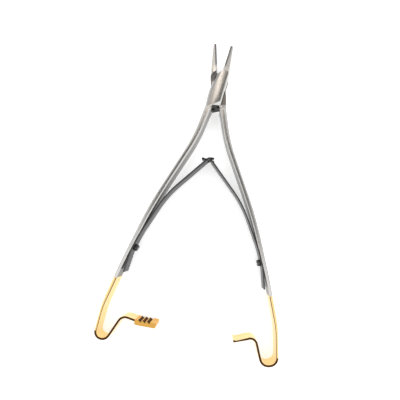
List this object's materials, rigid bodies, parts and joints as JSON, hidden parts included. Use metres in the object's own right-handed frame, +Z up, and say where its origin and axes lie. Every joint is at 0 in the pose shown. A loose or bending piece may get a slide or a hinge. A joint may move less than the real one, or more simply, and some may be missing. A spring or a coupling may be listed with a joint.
{
  "type": "surgical needle holder",
  "caption": "Plier-type surgical needle holder with a box lock, carbide-faced jaws, interlocking leaf springs and hooked gold-plated handle ends that meet in a ratchet.",
  "frame": {"origin": "on the pivot, in the plane that the instrument lies on", "axes": "+Y along the centre line towards the jaws, +Z up out of the resting plane and along the pivot, +X towards the handle with the catch"},
  "size_m": [0.1139, 0.1947, 0.009],
  "materials": {
    "forged_steel": "satin, the last quarter of each arm and the hooks gold plated",
    "pin_steel": "satin",
    "carbide": "ground, cross serrated",
    "spring_steel": "polished",
    "screw_steel": "turned"
  },
  "bodies": {
    "box_side": {"box_half": "forged_steel", "pivot_pin": "pin_steel", "right_insert": "carbide", "fork_spring": "spring_steel", "left_spring_screw": "screw_steel"},
    "through_side": {"through_half": "forged_steel", "left_insert": "carbide", "tongue_spring": "spring_steel", "right_spring_screw": "screw_steel"}
  },
  "joints": [
    {"name": "pivot", "type": "hinge", "parent": "box_side", "child": "through_side", "pos_m": [0, 0, 0.0045], "axis": [0, 0, -1], "range_deg": [0, 16.8], "stiffness_Nm_per_rad": 2.5, "deforming": ["fork_spring", "tongue_spring"]}
  ]
}
